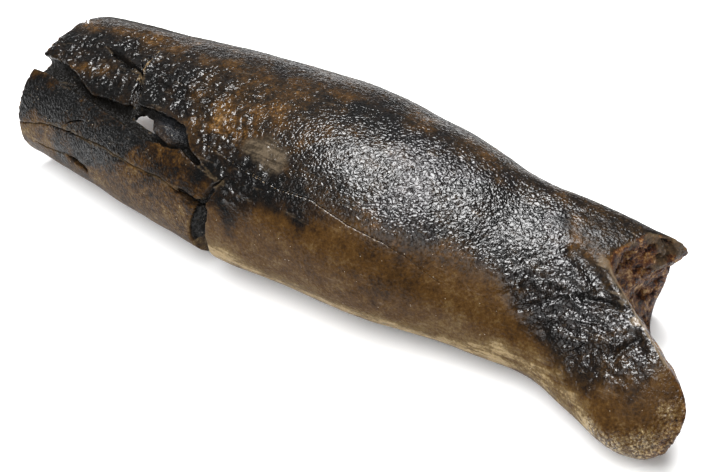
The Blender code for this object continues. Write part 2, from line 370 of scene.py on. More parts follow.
def surface_kinds(mesh):
    """Every kind of surface on the bone, as name: values."""
    points, normals = vertex_places(mesh), vertex_normals(mesh)
    broad = broad_normals(points)
    ragged = strayed(points)
    x = points[:, 0]
    turn, radius = turn_and_radius(points)
    from_edge = distance_to(broken_edges, points)
    rim = 1 - smooth_step(from_edge, *RIM)
    depth = level_at(level, x, turn) - radius
    from_crease = turn - np.interp(x, [along for along, _ in CREASE], [around for _, around in CREASE])
    ahead, broad_ahead = normals[:, 0], broad[:, 0]
    wall = smooth_step(depth, *WALL_DEPTH) * (1 - smooth_step(x, *SPLIT_TO)) * smooth_step(turn, *WALL_TURN)
    joint_face = smooth_step(ahead, *JOINT_FACING) * smooth_step(x, *JOINT_FROM)
    joint_face = joint_face * smooth_step(broad_ahead, *BROAD_FACING)
    shaft_face = smooth_step(-ahead, *SHAFT_FACING) * smooth_step(-x, *SHAFT_END_FROM)
    shaft_face = shaft_face * smooth_step(-broad_ahead, *BROAD_FACING)
    wall = wall * (1 - shaft_face)
    tip = near(LOBE_TIP, ragged)
    outside = (1 - wall) * (1 - joint_face) * (1 - shaft_face)
    under = smooth_step(turn, *UNDER_FROM) * (1 - smooth_step(turn, *UNDER_TO))
    near_side = smooth_step(from_crease, *NEAR_FROM) * (1 - smooth_step(turn, *NEAR_TO))
    near_side = near_side * (1 - 0.85 * near(GLOSSY_BLACK, ragged))
    far_side = (1 - smooth_step(turn, *FAR_FROM)) + smooth_step(turn, *UNDER_TO)
    worn = near(WORN_PATCH, points)
    wrinkled = near(WRINKLED, ragged) * (1 - near_side) * outside
    plated = near(PLATED, points) * outside
    pebbled = (1 - near_side) * (1 - under) * (1 - 0.6 * far_side) * (1 - wrinkled) * outside * (1 - plated)
    shine = smooth_step(turn, *SHINE_TURN) * (1 - smooth_step(from_crease, *SHINE_TO))
    shine = shine * smooth_step(x, *SHINE_FROM)
    crest = [on_outside(*place) for place in CREST]

    def along_ragged(name, lines):
        return along_lines(lines, points + LINE_STRAY[name] * (ragged - points))

    kinds = {
        "outside": outside,
        "wall": wall,
        "spongy": np.maximum(joint_face * (1 - 0.7 * tip), shaft_face),
        "near_side": near_side,
        "dull": np.clip(far_side, 0, 1) * (0.85 + 0.15 * smooth_step(-x, *DULLEST_FROM)),
        "worn": worn,
        "wrinkled": wrinkled,
        "plated": plated,
        "pebbled": pebbled * (1 - worn) * (1 - smooth_step(x, *PEBBLES_TO)),
        "tip": tip,
        "black": np.maximum(near(BLACK, ragged) * (1 - 0.6 * plated), 0.35 * shine),
        "rust": near(RUST, ragged),
        "charcoal": near(CHARCOAL, ragged),
        "ochre": near(OCHRE, ragged),
        "tan": along_ragged("tan", TAN),
        "groove": along_ragged("groove", GROOVES),
        "ridge": along_ragged("ridge", RIDGE),
        "lip": along_lines([(LIP_HALF_WIDTH, LIP)], points) * (1 - smooth_step(from_edge, *LIP_EDGE)),
        "trough": along_lines(TROUGH, points),
        "low": smooth_step(from_crease, *LOW_FROM),
        "slab": smooth_step(-x, *SLAB_FROM) * near_side,
        "matt": near(MATT, ragged),
        "crest": along_lines([(CREST_HALF_WIDTH, crest)], points),
        "granular": near(GRANULAR, ragged),
        "far_tip": near(FAR_TIP, ragged) * np.maximum(joint_face, rim * smooth_step(ahead, *TIP_FACING)),
        "rim": rim,
        "edge": (1 - smooth_step(from_edge, *SHARP_EDGE)) * (1 - smooth_step(x, *EDGE_TO)),
    }
    return {name: np.clip(values, 0, 1) for name, values in kinds.items()}


def write_kinds(mesh, kinds):
    for name, values in kinds.items():
        layer = mesh.attributes.get(name) or mesh.attributes.new(name, "FLOAT", "POINT")
        layer.data.foreach_set("value", values.astype(np.float32))


level = outer_level(vertex_places(bone.data))
kinds = surface_kinds(bone.data)
kinds_tree = search_tree(vertex_places(bone.data))
write_kinds(bone.data, kinds)

# The relief that stands out of the smooth shape: long lumps, wrinkles, pebbles, plates and creases of the
# skin, the grain of the broken walls and the pits of the spongy inside.


def new_node(tree, kind, **settings):
    made = tree.nodes.new(kind)
    for name, value in settings.items():
        setattr(made, name, value)
    return made


def feed(tree, socket, value):
    """Gives a socket a value, or joins another node's output to it."""
    if isinstance(value, bpy.types.NodeSocket):
        tree.links.new(value, socket)
    else:
        socket.default_value = value


def calc(tree, operation, *values, clamp=False):
    made = new_node(tree, "ShaderNodeMath", operation=operation, use_clamp=clamp)
    for socket, value in zip(made.inputs, values):
        feed(tree, socket, value)
    return made.outputs[0]


def total(tree, values):
    result = values[0]
    for value in values[1:]:
        result = calc(tree, "ADD", result, value)
    return result


def product(tree, *values):
    result = values[0]
    for value in values[1:]:
        result = calc(tree, "MULTIPLY", result, value)
    return result


def rise(tree, value, low, high):
    """0 below low, 1 above high, smooth between; high may be the smaller one."""
    made = new_node(tree, "ShaderNodeMapRange", interpolation_type="SMOOTHSTEP")
    for name, given in (("Value", value), ("From Min", low), ("From Max", high)):
        feed(tree, made.inputs[name], given)
    return made.outputs["Result"]


def scale_of(tree, length):
    """A texture's scale for a length in millimetres."""
    if isinstance(length, bpy.types.NodeSocket):
        return calc(tree, "DIVIDE", 1 / MM, length)
    return 1 / (length * MM)


def elsewhere(tree, where, seed):
    """The place, moved so far that each seed reads another part of a texture."""
    made = new_node(tree, "ShaderNodeVectorMath", operation="ADD")
    feed(tree, made.inputs[0], where)
    made.inputs[1].default_value = Vector((0.137, 0.271, 0.193)) * seed
    return made.outputs[0]


def cloudy(tree, where, length, seed, detail=2.0, roughness=0.5):
    """Noise about zero, mostly between -0.25 and 0.25."""
    made = new_node(tree, "ShaderNodeTexNoise", noise_dimensions="3D")
    for name, given in (("Vector", elsewhere(tree, where, seed)), ("Scale", scale_of(tree, length)),
                        ("Detail", detail), ("Roughness", roughness), ("Lacunarity", 2.13)):
        feed(tree, made.inputs[name], given)
    return calc(tree, "SUBTRACT", made.outputs[0], 0.5)


def cells(tree, where, length, seed, feature="F1", softness=0.5):
    """Distance to the middle, or to the edge, of cells of this length."""
    made = new_node(tree, "ShaderNodeTexVoronoi", voronoi_dimensions="3D", feature=feature)
    for name, given in (("Vector", elsewhere(tree, where, seed)), ("Scale", scale_of(tree, length))):
        feed(tree, made.inputs[name], given)
    if feature == "SMOOTH_F1":
        feed(tree, made.inputs["Smoothness"], softness)
    return made.outputs["Distance"]


def ridged(tree, where, length, seed, detail=2.0):
    """Rounded ridges between sharp furrows, from 0 to 1."""
    folds = calc(tree, "ABSOLUTE", cloudy(tree, where, length, seed, detail))
    return calc(tree, "MINIMUM", product(tree, folds, 5.0), 1.0)


def stretched(tree, where, factors):
    made = new_node(tree, "ShaderNodeVectorMath", operation="MULTIPLY")
    feed(tree, made.inputs[0], where)
    made.inputs[1].default_value = factors
    return made.outputs[0]


def bent(tree, where, amount, length, seed):
    """The place, pushed about by noise so that cells and bands lose their even look."""
    push = new_node(tree, "ShaderNodeTexNoise", noise_dimensions="3D")
    for name, given in (("Vector", elsewhere(tree, where, seed)), ("Scale", scale_of(tree, length)),
                        ("Detail", 1.0)):
        feed(tree, push.inputs[name], given)
    centred = new_node(tree, "ShaderNodeVectorMath", operation="SUBTRACT")
    feed(tree, centred.inputs[0], push.outputs["Color"])
    centred.inputs[1].default_value = (0.5, 0.5, 0.5)
    moved = new_node(tree, "ShaderNodeVectorMath", operation="MULTIPLY_ADD")
    feed(tree, moved.inputs[0], centred.outputs[0])
    moved.inputs[1].default_value = (2 * amount * MM,) * 3
    feed(tree, moved.inputs[2], where)
    return moved.outputs[0]


RELIEF = (
    ("Lump Height", 0.8), ("Lump Length", 22.0), ("Wrinkle Height", 1.5), ("Wrinkle Length", 5.5),
    ("Pebble Height", 0.18), ("Pebble Length", 1.7), ("Plate Height", 1.0), ("Plate Length", 6.0),
    ("Groove Depth", 1.2), ("Ridge Height", 0.25), ("Trough Depth", 0.9), ("Crest Height", 0.5),
    ("Grain Height", 0.3), ("Grain Length", 2.6), ("Wall Height", 0.7), ("Wall Length", 3.2),
    ("Pit Depth", 2.2), ("Pit Length", 4.5), ("Crumb Height", 1.5), ("Crumb Length", 3.0),
    ("Seed", 4.0),
)


def relief_tree():
    tree = bpy.data.node_groups.new("bone_relief", "GeometryNodeTree")
    tree.is_modifier = True
    tree.interface.new_socket(name="Geometry", in_out="INPUT", socket_type="NodeSocketGeometry")
    for name, value in RELIEF:
        socket = tree.interface.new_socket(name=name, in_out="INPUT", socket_type="NodeSocketFloat")
        socket.default_value = value
    tree.interface.new_socket(name="Geometry", in_out="OUTPUT", socket_type="NodeSocketGeometry")
    given = tree.nodes.new("NodeGroupInput").outputs
    start = new_node(tree, "ShaderNodeVectorMath", operation="SCALE")
    start.inputs[0].default_value = (0.11, 0.07, 0.05)
    feed(tree, start.inputs["Scale"], given["Seed"])
    seeded = new_node(tree, "ShaderNodeVectorMath", operation="ADD")
    feed(tree, seeded.inputs[0], new_node(tree, "GeometryNodeInputPosition").outputs[0])
    feed(tree, seeded.inputs[1], start.outputs[0])
    where = seeded.outputs[0]

    def kind(name):
        made = new_node(tree, "GeometryNodeInputNamedAttribute", data_type="FLOAT")
        made.inputs["Name"].default_value = name
        return made.outputs[0]

    lumps = product(tree, cloudy(tree, where, given["Lump Length"], 1, 1.0), given["Lump Height"],
                    kind("outside"))
    wrinkle_place = bent(tree, stretched(tree, where, (1.0, 0.7, 0.7)), 1.5, 9.0, 2)
    furrows = calc(tree, "SUBTRACT", ridged(tree, wrinkle_place, given["Wrinkle Length"], 3, 3.0), 0.5)
    wrinkles = product(tree, furrows, given["Wrinkle Height"], kind("wrinkled"))
    pebble_cells = cells(tree, bent(tree, where, 0.7, 2.5, 4), given["Pebble Length"], 5, "SMOOTH_F1")
    pebbles = product(tree, calc(tree, "SUBTRACT", 0.5, pebble_cells), given["Pebble Height"],
                      kind("pebbled"))
    plate_place = bent(tree, stretched(tree, where, (0.8, 1.0, 1.0)), 1.8, 7.0, 6)
    plate_folds = calc(tree, "SUBTRACT", ridged(tree, plate_place, given["Plate Length"], 21, 2.0), 0.5)
    plates = product(tree, plate_folds, given["Plate Height"], kind("plated"))
    grooves = product(tree, kind("groove"), given["Groove Depth"], -1.0)
    ridge = product(tree, kind("ridge"), given["Ridge Height"])
    trough = product(tree, kind("trough"), given["Trough Depth"], -1.0)
    crest = product(tree, kind("crest"), given["Crest Height"])
    grain = product(tree, cloudy(tree, where, given["Grain Length"], 8, 3.0), given["Grain Height"],
                    rise(tree, kind("near_side"), 1.2, 0.0))
    wall_place = stretched(tree, where, (0.25, 1.0, 1.0))
    walls = product(tree, cloudy(tree, wall_place, given["Wall Length"], 9, 4.0, 0.6), given["Wall Height"],
                    kind("wall"))
    inside = calc(tree, "SUBTRACT", kind("spongy"), kind("rim"), clamp=True)
    pit_place = bent(tree, where, 1.5, 4.0, 10)
    pits = product(tree, rise(tree, cloudy(tree, pit_place, given["Pit Length"], 11, 2.0), 0.0, -0.14),
                   given["Pit Depth"], inside, -1.0)
    crumbs = product(tree, cloudy(tree, where, given["Crumb Length"], 12, 4.0, 0.65), given["Crumb Height"],
                     total(tree, [inside, kind("granular"), kind("far_tip")]))
    outer = total(tree, [lumps, wrinkles, pebbles, plates, grooves, trough, grain])
    outer = product(tree, outer, calc(tree, "SUBTRACT", 1.0, product(tree, kind("rim"), 0.9)))
    height = product(tree, total(tree, [outer, ridge, crest, walls, pits, crumbs]), MM)
    push = new_node(tree, "ShaderNodeVectorMath", operation="SCALE")
    feed(tree, push.inputs[0], new_node(tree, "GeometryNodeInputNormal").outputs[0])
    feed(tree, push.inputs["Scale"], height)
    raised = new_node(tree, "GeometryNodeSetPosition")
    feed(tree, raised.inputs["Geometry"], given["Geometry"])
    feed(tree, raised.inputs["Offset"], push.outputs[0])
    real = new_node(tree, "GeometryNodeRealizeInstances")
    feed(tree, real.inputs["Geometry"], raised.outputs[0])
    finished = new_node(tree, "GeometryNodeSetMaterial")
    feed(tree, finished.inputs["Geometry"], real.outputs[0])
    finished.inputs["Material"].default_value = bone_material
    feed(tree, new_node(tree, "NodeGroupOutput").inputs["Geometry"], finished.outputs[0])
    return tree


# The finish: glossy stained skin, matt near side, walls near-black from their own dark tone and from painted
# shade, and a reddish spongy inside.
# A run of colours goes from where a stain is deepest to where the bone shows through.
SKIN_COLOURS = (
    (0.00, (0.003, 0.003, 0.003)), (0.20, (0.007, 0.005, 0.004)), (0.42, (0.019, 0.011, 0.005)),
    (0.62, (0.046, 0.022, 0.006)), (0.82, (0.110, 0.055, 0.015)), (1.00, (0.240, 0.140, 0.055)),
)
NEAR_COLOURS = (
    (0.00, (0.003, 0.003, 0.003)), (0.25, (0.016, 0.008, 0.003)), (0.50, (0.050, 0.024, 0.006)),
    (0.75, (0.098, 0.063, 0.024)), (1.00, (0.260, 0.192, 0.100)),
)
INNER_COLOURS = (
    (0.00, (0.003, 0.002, 0.002)), (0.32, (0.022, 0.007, 0.004)), (0.50, (0.075, 0.024, 0.009)),
    (0.66, (0.170, 0.070, 0.018)), (0.90, (0.360, 0.220, 0.090)),
)
# The worn patch runs from olive to a lighter tan. It is worn bone, and its lighter streaks are partly a
# painted sheen.
WORN_OLIVE = (0.022, 0.016, 0.010, 1)
WORN_SHEEN_TAN = (0.088, 0.067, 0.044, 1)
EDGE_TAN = (0.240, 0.165, 0.085, 1)
RIDGE_TAN = (0.150, 0.112, 0.072, 1)
TIP_GREY = (0.075, 0.054, 0.030, 1)
# Painted shade: near-black laid along the fine creases of the glossy skin.
CREASE_SHADE_BLACK = (0.003, 0.0025, 0.002, 1)
# The walls of the split and the cracks are near-black: partly their dark tone, partly painted shade.
WALL_SHADE_BLACK = (0.003, 0.0025, 0.002, 1)
FRAGMENT_GREY = (0.009, 0.010, 0.012, 1)
# Painted glints: pale specks that give the matt near side its sparkle.
GLINT_WHITE = (0.600, 0.520, 0.400, 1)
BONE_SPECULAR = 0.03
SKIN_ROUGHNESS, DULL_ROUGHNESS = 0.5, 0.85
VARNISH_ROUGHNESS = 0.13

# How much of the full varnish each kind of surface keeps, one laid over the other.
FULL_VARNISH = 1.0
VARNISH = (("near_side", 0.2), ("dull", 0.05), ("charcoal", 0.5), ("tip", 0.08), ("granular", 1.0),
           ("worn", 0.9), ("matt", 0.2), ("wall", 0.5), ("spongy", 0.6), ("fragment", 1.0))

# Where each run of colours is read, and how far each pattern and each kind of surface moves that place.
SKIN_LEVEL, NEAR_LEVEL, INNER_LEVEL = 0.33, 0.43, 0.52
# The groove entry darkens the colour in the lobe's grooves: painted shade.
SKIN_STAINS = (("broad", 0.8), ("mottle", 1.2), ("speckle", 0.7), ("rust", 0.30), ("black", -0.34),
               ("tan", 0.3), ("groove", -0.15))
NEAR_STAINS = (("broad", 0.5), ("mottle", 0.7), ("speckle", 0.55), ("slab mottle", 0.8),
               ("slab speckle", 0.5), ("tan fibres", 1.2), ("ochre", 0.2), ("tan off the slab", 0.38),
               ("slab", -0.17), ("charcoal", -0.5), ("black", -0.42), ("tip", -0.08), ("granular", 0.27),
               ("granular speckle", 2.0), ("low", 0.09))
INNER_STAINS = (("inner mottle", 2.2), ("speckle", 0.9))

# The cloudy patterns in the colour, the gloss and the finest relief: length, seed, detail and roughness.
CLOUDS = {
    "broad": (26.0, 2.0, 3.0, 0.6),
    "mottle": (4.5, 3.0, 5.0, 0.68),
    "speckle": (0.9, 4.0, 3.0, 0.6),
    "fibres": (1.6, 5.0, 3.0, 0.6),
    "inner mottle": (3.0, 8.0, 5.0, 0.7),
    "gloss": (1.6, 12.0, 3.0, 0.5),
    "thin varnish": (1.1, 13.0, 3.0, 0.6),
    "grain": (0.9, 17.0, 1.0, 0.6),
    "crumbs": (1.2, 18.0, 4.0, 0.7),
    "folds": (2.6, 19.0, 1.0, 0.5),
}
GRAIN_SLANT = (0.5, 0.8, 0.3)
FIBRE_STRETCH = (0.12, 1.0, 1.0)
PEBBLE_BEND, PEBBLE_BEND_LENGTH = 0.5, 1.6
SMALL_PEBBLE, PEBBLE_SOFTNESS = 0.95, 0.6
CREASE_CELL, CREASE_WIDTH = 1.5, 0.25
GLINT_SPACING, GLINT_BORDER = 2.8, (0.06, 0.03)
THIN_VARNISH = (-0.22, 0.1)
GLOSS_UNEVEN = 0.3

# Colours laid over with a ragged border: their strength, where the border starts and is full, and the length,
# amount and seed of the raggedness.
PATCHES = {
    "worn": (0.95, 0.15, 1.0, 2.5, 1.2, 21),
    "far_tip": (0.75, 0.25, 0.85, 4.0, 2.2, 1),
    "lip": (0.85, 0.1, 0.7, 2.0, 1.2, 20),
    "edge": (0.14, 0.5, 1.1, 2.0, 2.2, 1),
    "crest": (0.6, 0.5, 1.0, 2.0, 2.2, 1),
    "scratch": (0.35, 0.5, 1.0, 1.5, 2.2, 1),
}
# The strengths of the painted shade in the creases, of the pale fan on the ridge and of the painted glints.
CREASE_SHADE_STRENGTH, FAN_STRENGTH, GLINT_STRENGTH = 0.5, 0.55, 0.6
FAN_BORDER = (0.3, 1.2)
BRUSHED_SHEEN = (-0.35, 0.35)

# The heights of the bump, which is finer than the mesh.
PEBBLE_BUMP, CREASE_BUMP, FOLD_BUMP = 0.17, 0.06, 1.5
GRAIN_BUMP, GRITTY_BUMP, GLOSSY_BUMP = 0.28, 0.5, -0.27
CRUMB_BUMP, FIBRE_BUMP = 0.7, 0.5


def blend(tree, factor, a, b):
    made = new_node(tree, "ShaderNodeMix", data_type="RGBA")
    feed(tree, made.inputs[0], factor)
    feed(tree, made.inputs[6], a)
    feed(tree, made.inputs[7], b)
    return made.outputs[2]


def blend_value(tree, factor, a, b):
    made = new_node(tree, "ShaderNodeMix", data_type="FLOAT")
    feed(tree, made.inputs[0], factor)
    feed(tree, made.inputs[2], a)
    feed(tree, made.inputs[3], b)
    return made.outputs[0]


def bone_finish():
    material = bpy.data.materials.new("fossil_bone_finish")
    material.use_nodes = True
    tree = material.node_tree
    shader = tree.nodes["Principled BSDF"]
    shader.inputs["Specular IOR Level"].default_value = BONE_SPECULAR
    shader.inputs["Coat Roughness"].default_value = VARNISH_ROUGHNESS

    def slanted(place):
        """The place turned aside, so that no pattern lies square to the bone."""
        made = new_node(tree, "ShaderNodeMapping")
        feed(tree, made.inputs["Vector"], place)
        made.inputs["Rotation"].default_value = GRAIN_SLANT
        return made.outputs[0]

    def kind(name):
        return new_node(tree, "ShaderNodeAttribute", attribute_name=name).outputs["Fac"]

    def stain(level, amounts, colours):
        """A colour run read at the level plus each pattern or kind by its amount."""
        at = total(tree, [calc(tree, "MULTIPLY", patterns[name] if name in patterns else kind(name), amount)
                          for name, amount in amounts])
        made = new_node(tree, "ShaderNodeValToRGB")
        stops = made.color_ramp.elements
        for k, (place, colour) in enumerate(colours):
            stop = stops[k] if k < 2 else stops.new(place)
            stop.position, stop.color = place, (*colour, 1)
        feed(tree, made.inputs["Fac"], calc(tree, "ADD", at, level))
        return made.outputs["Color"]

    def patch(name):
        """A kind's area with a ragged, cloudy border."""
        strength, low, high, length, amount, seed = PATCHES[name]
        ragged = product(tree, cloudy(tree, where, length, seed, 4.0, 0.72), amount,
                         rise(tree, kind(name), 0.0, 0.3))
        return product(tree, rise(tree, calc(tree, "ADD", kind(name), ragged), low, high), strength)

    on_bone = new_node(tree, "ShaderNodeTexCoord").outputs["Object"]
    where = slanted(on_bone)
    fibres = cloudy(tree, slanted(stretched(tree, on_bone, FIBRE_STRETCH)), *CLOUDS["fibres"])
    mottle = cloudy(tree, where, *CLOUDS["mottle"])
    speckle = cloudy(tree, where, *CLOUDS["speckle"])
    near_side = kind("near_side")
    patterns = {
        "broad": cloudy(tree, where, *CLOUDS["broad"]),
        "mottle": mottle,
        "speckle": speckle,
        "inner mottle": cloudy(tree, where, *CLOUDS["inner mottle"]),
        "slab mottle": product(tree, kind("slab"), mottle),
        "slab speckle": product(tree, kind("slab"), speckle),
        "granular speckle": product(tree, kind("granular"), speckle),
        "tan fibres": product(tree, fibres, kind("tan")),
        "tan off the slab": product(tree, kind("tan"), rise(tree, kind("slab"), 1.6, 0.0)),
    }
    top = stain(SKIN_LEVEL, SKIN_STAINS, SKIN_COLOURS)
    side = stain(NEAR_LEVEL, NEAR_STAINS, NEAR_COLOURS)
    inside = stain(INNER_LEVEL, INNER_STAINS, INNER_COLOURS)
    matt_skin = total(tree, [near_side, product(tree, kind("worn"), 0.7), product(tree, kind("matt"), 0.8)])
    glossy_skin = calc(tree, "MULTIPLY", calc(tree, "SUBTRACT", 1.0, matt_skin, clamp=True), kind("outside"))
    pebble_place = bent(tree, where, PEBBLE_BEND, PEBBLE_BEND_LENGTH, 14.0)
    small = calc(tree, "SUBTRACT", 1.0,
                 cells(tree, pebble_place, SMALL_PEBBLE, 15.0, "SMOOTH_F1", softness=PEBBLE_SOFTNESS))
    creases = rise(tree, cells(tree, pebble_place, CREASE_CELL, 16.0, "DISTANCE_TO_EDGE"), 0.0, CREASE_WIDTH)
    # Painted shade: the glossy skin goes near-black along the edges of the pebble cells, where shade falls in
    # the creases, and its varnish thins there.
    crease_shade = product(tree, calc(tree, "SUBTRACT", 1.0, creases), glossy_skin, CREASE_SHADE_STRENGTH)
    colour = blend(tree, near_side, blend(tree, crease_shade, top, CREASE_SHADE_BLACK), side)
    # Painted sheen, in part: lighter tan streaks in the worn patch stand for its brushed sheen as well as its
    # wear.
    brushed_sheen = rise(tree, total(tree, [speckle, mottle, product(tree, fibres, 1.5)]), *BRUSHED_SHEEN)
    colour = blend(tree, patch("worn"), colour, blend(tree, brushed_sheen, WORN_OLIVE, WORN_SHEEN_TAN))
    # Painted shade, in part: the walls of the split and the cracks go near-black.
    colour = blend(tree, kind("wall"), colour, WALL_SHADE_BLACK)
    colour = blend(tree, kind("fragment"), colour, FRAGMENT_GREY)
    colour = blend(tree, kind("spongy"), colour, inside)
    colour = blend(tree, patch("far_tip"), colour, TIP_GREY)
    fan = rise(tree, total(tree, [kind("ridge"), product(tree, fibres, 3.0), mottle]), *FAN_BORDER)
    colour = blend(tree, product(tree, fan, FAN_STRENGTH), colour, RIDGE_TAN)
    colour = blend(tree, patch("lip"), colour, RIDGE_TAN)
    for name in ("edge", "crest", "scratch"):
        colour = blend(tree, patch(name), colour, EDGE_TAN)
    # Painted glints: small pale specks in the middles of cells on the near side.
    painted_glints = rise(tree, cells(tree, where, GLINT_SPACING, 11.0), *GLINT_BORDER)
    colour = blend(tree, product(tree, painted_glints, near_side, GLINT_STRENGTH), colour, GLINT_WHITE)
    feed(tree, shader.inputs["Base Color"], colour)

    uneven = product(tree, cloudy(tree, where, *CLOUDS["gloss"]), GLOSS_UNEVEN)
    gloss = calc(tree, "ADD", SKIN_ROUGHNESS, uneven, clamp=True)
    feed(tree, shader.inputs["Roughness"], blend_value(tree, kind("dull"), gloss, DULL_ROUGHNESS))
    varnish = FULL_VARNISH
    for name, amount in VARNISH:
        varnish = blend_value(tree, kind(name), varnish, amount)
    thin_spots = rise(tree, cloudy(tree, where, *CLOUDS["thin varnish"]), *THIN_VARNISH)
    feed(tree, shader.inputs["Coat Weight"], product(tree, varnish, thin_spots, rise(tree, crease_shade, 1.5, 0.0)))

    folded = calc(tree, "MAXIMUM", kind("wrinkled"), product(tree, kind("plated"), 0.6))
    folds = product(tree, cloudy(tree, where, *CLOUDS["folds"]), folded)
    pebbles = total(tree, [product(tree, small, PEBBLE_BUMP), product(tree, creases, CREASE_BUMP),
                           product(tree, folds, FOLD_BUMP)])
    pebbles = product(tree, pebbles, glossy_skin)
    gritty = total(tree, [kind("charcoal"), kind("granular"), kind("far_tip"),
                          product(tree, kind("slab"), 0.4)])
    grit = total(tree, [product(tree, gritty, GRITTY_BUMP), product(tree, glossy_skin, GLOSSY_BUMP)])
    grain = product(tree, cloudy(tree, where, *CLOUDS["grain"]), calc(tree, "ADD", grit, GRAIN_BUMP))
    crumbs = product(tree, cloudy(tree, where, *CLOUDS["crumbs"]), CRUMB_BUMP,
                     calc(tree, "ADD", kind("spongy"), kind("wall")))
    streaks = product(tree, fibres, FIBRE_BUMP,
                      total(tree, [kind("tan"), kind("ridge"), product(tree, kind("worn"), 0.5)]))
    bump = new_node(tree, "ShaderNodeBump")
    bump.inputs["Distance"].default_value = MM
    feed(tree, bump.inputs["Height"], total(tree, [pebbles, grain, crumbs, streaks]))
    feed(tree, shader.inputs["Normal"], bump.outputs[0])
    feed(tree, shader.inputs["Coat Normal"], bump.outputs[0])
    return material


bone_material = bone_finish()
relief = bone.modifiers.new("relief", "NODES")
relief.node_group = relief_tree()
for socket in relief.node_group.interface.items_tree:
    if socket.in_out == "INPUT" and socket.name != "Geometry":
        relief[socket.identifier] = dict(RELIEF)[socket.name]
apply_modifiers(bone)

settled = vertex_places(bone.data)
settled[:, 2] = np.maximum(settled[:, 2], cad_low[2] / MM)
bone.data.vertices.foreach_set("co", (settled * MM).ravel())

# The mesh is thinned where it is plain, which keeps its triangles for the relief.
TRIANGLES = 185000
thin = bone.modifiers.new("thin", "DECIMATE")
thin.ratio = min(1.0, TRIANGLES / (2 * len(bone.data.polygons)))
apply_modifiers(bone)

# The narrow cracks, cut again with sharp lips. A crack is its depth and its way over the outside, as places
# along the bone, turns and widths. The hairline is the fine pale scratch beside the long crease.
CRACKS = (
    (7, ((-91, 104, 0.3), (-88.5, 108, 0.7), (-87, 113, 1.0), (-84.5, 121, 1.5), (-83, 130, 1.9),
         (-81.5, 137, 2.2))),
    (4, ((-110, 96, 0.3), (-106, 99, 1.2), (-102, 101, 1.7), (-98, 104, 1.5), (-94, 108, 1.8),
         (-90, 110, 1.4), (-87, 113, 0.8))),
    (5, ((-132, 181, 0.9), (-127, 179, 0.7), (-116, 170, 0.6), (-110, 168, 0.5), (-103, 166, 0.7),
         (-95, 165, 0.6), (-85, 163, 0.6), (-74, 164, 0.5), (-65, 164, 0.6), (-57, 163, 0.6),
         (-50, 165, 0.9), (-43, 167, 1.5), (-39, 168, 1.8))),
    (5, ((-32, 150, 0.5), (-34, 154, 0.9), (-36, 157, 1.1), (-38, 162, 1.4), (-39, 167, 1.8))),
    (7, ((-39, 165, 1.6), (-38, 170, 4.6), (-39, 177, 5.0), (-39, 184, 6.0), (-40, 192, 6.4),
         (-40, 203, 5.5), (-40, 214, 2.0))),
    (3, ((-123, 190, 0.3), (-116, 188, 0.8), (-110, 185, 0.7), (-105, 182, 0.9), (-100, 184, 1.5),
         (-94, 186, 0.5))),
    (4, ((-134, 58, 1.5), (-131, 60, 1.2), (-127, 70, 0.4))),
    (2.5, ((-106, 164, 0.3), (-103, 160, 0.6), (-100, 157, 0.6), (-97, 156, 0.3))),
)
HAIRLINE = (0.9, ((-48, 140, 0.3), (-40, 142, 0.45), (-29, 145, 0.5), (-20, 146, 0.5), (-12, 147, 0.55),
                  (-1, 146, 0.6), (14, 150, 0.55), (27, 152, 0.45), (35, 155, 0.4), (47, 162, 0.3)))
LIP_RISE = 1.4
ROOT_SHARE = 0.3
CRACK_STEP = 1.6
CRACK_STRAY = 0.45
FINE_STRAY = 0.15
CRACK_STRAY_LENGTH = 3.0
WIDTH_STRAY = 0.6
HOLE_NEAR = ((-76, -23.5, 41.5), (-73, -21.5, 43.5), (-65.5, -23, 43.8), (-65, -26, 41.5))
HOLE_FAR = ((-121, 21, 0), (-116, 29, 2), (-104, 24, 2), (-105, 17, 0))
HOLE_RISE = 8


def finer(path, stray_amount):
    """The path with short steps and a slight stray, as a crack runs."""
    fine = []
    for a, b in zip(path, path[1:]):
        gap = (on_outside(*a[:2]) - on_outside(*b[:2])).length
        count = max(1, round(gap / CRACK_STEP))
        fine += [[a[i] + (b[i] - a[i]) * k / count for i in range(3)] for k in range(count)]
    fine.append(list(path[-1]))
    for row in fine[1:-1]:
        stray = noise.noise_vector(on_outside(*row[:2]) / CRACK_STRAY_LENGTH) * stray_amount
        row[0] += stray.x
        row[1] += math.degrees(stray.y / on_outside(*row[:2]).yz.length)
        row[2] *= 1 + WIDTH_STRAY * stray.z
    return fine


def add_loft(bm, sections):
    """A closed strip through sections of four corners."""
    rings = [[bm.verts.new(corner * MM) for corner in section] for section in sections]
    for a, b in zip(rings, rings[1:]):
        for k in range(4):
            j = (k + 1) % 4
            bm.faces.new((a[k], a[j], b[j], b[k]))
    bm.faces.new(rings[0][::-1])
    bm.faces.new(rings[-1])


def crack_sections(depth, path):
    """The wedge of a crack: two lips above the outside and a narrow root below it."""
    path = finer(path, CRACK_STRAY if depth > 1 else FINE_STRAY)
    middles = [on_outside(along, turn) for along, turn, _ in path]
    sections = []
    for i, (along, turn, width) in enumerate(path):
        run = middles[min(i + 1, len(path) - 1)] - middles[max(i - 1, 0)]
        out = (on_outside(along, turn, 1) - middles[i]).normalized()
        across = run.cross(out).normalized() * width / 2
        root = middles[i] - out * depth
        lip = middles[i] + out * LIP_RISE
        flare = 1 + LIP_RISE / depth * (1 - ROOT_SHARE)
        sections.append([lip - across * flare, lip + across * flare, root + across * ROOT_SHARE,
                         root - across * ROOT_SHARE])
    return sections


def join(piece, bm, operation):
    """Joins a closed form to the piece, or takes it out."""
    tool = new_object("tool", bpy.data.meshes.new("tool"))
    bm.to_mesh(tool.data)
    bm.free()
    boolean = piece.modifiers.new("join", "BOOLEAN")
    boolean.operation = operation
    boolean.solver = "MANIFOLD"
    boolean.object = tool
    apply_modifiers(piece)
    bpy.data.objects.remove(tool)


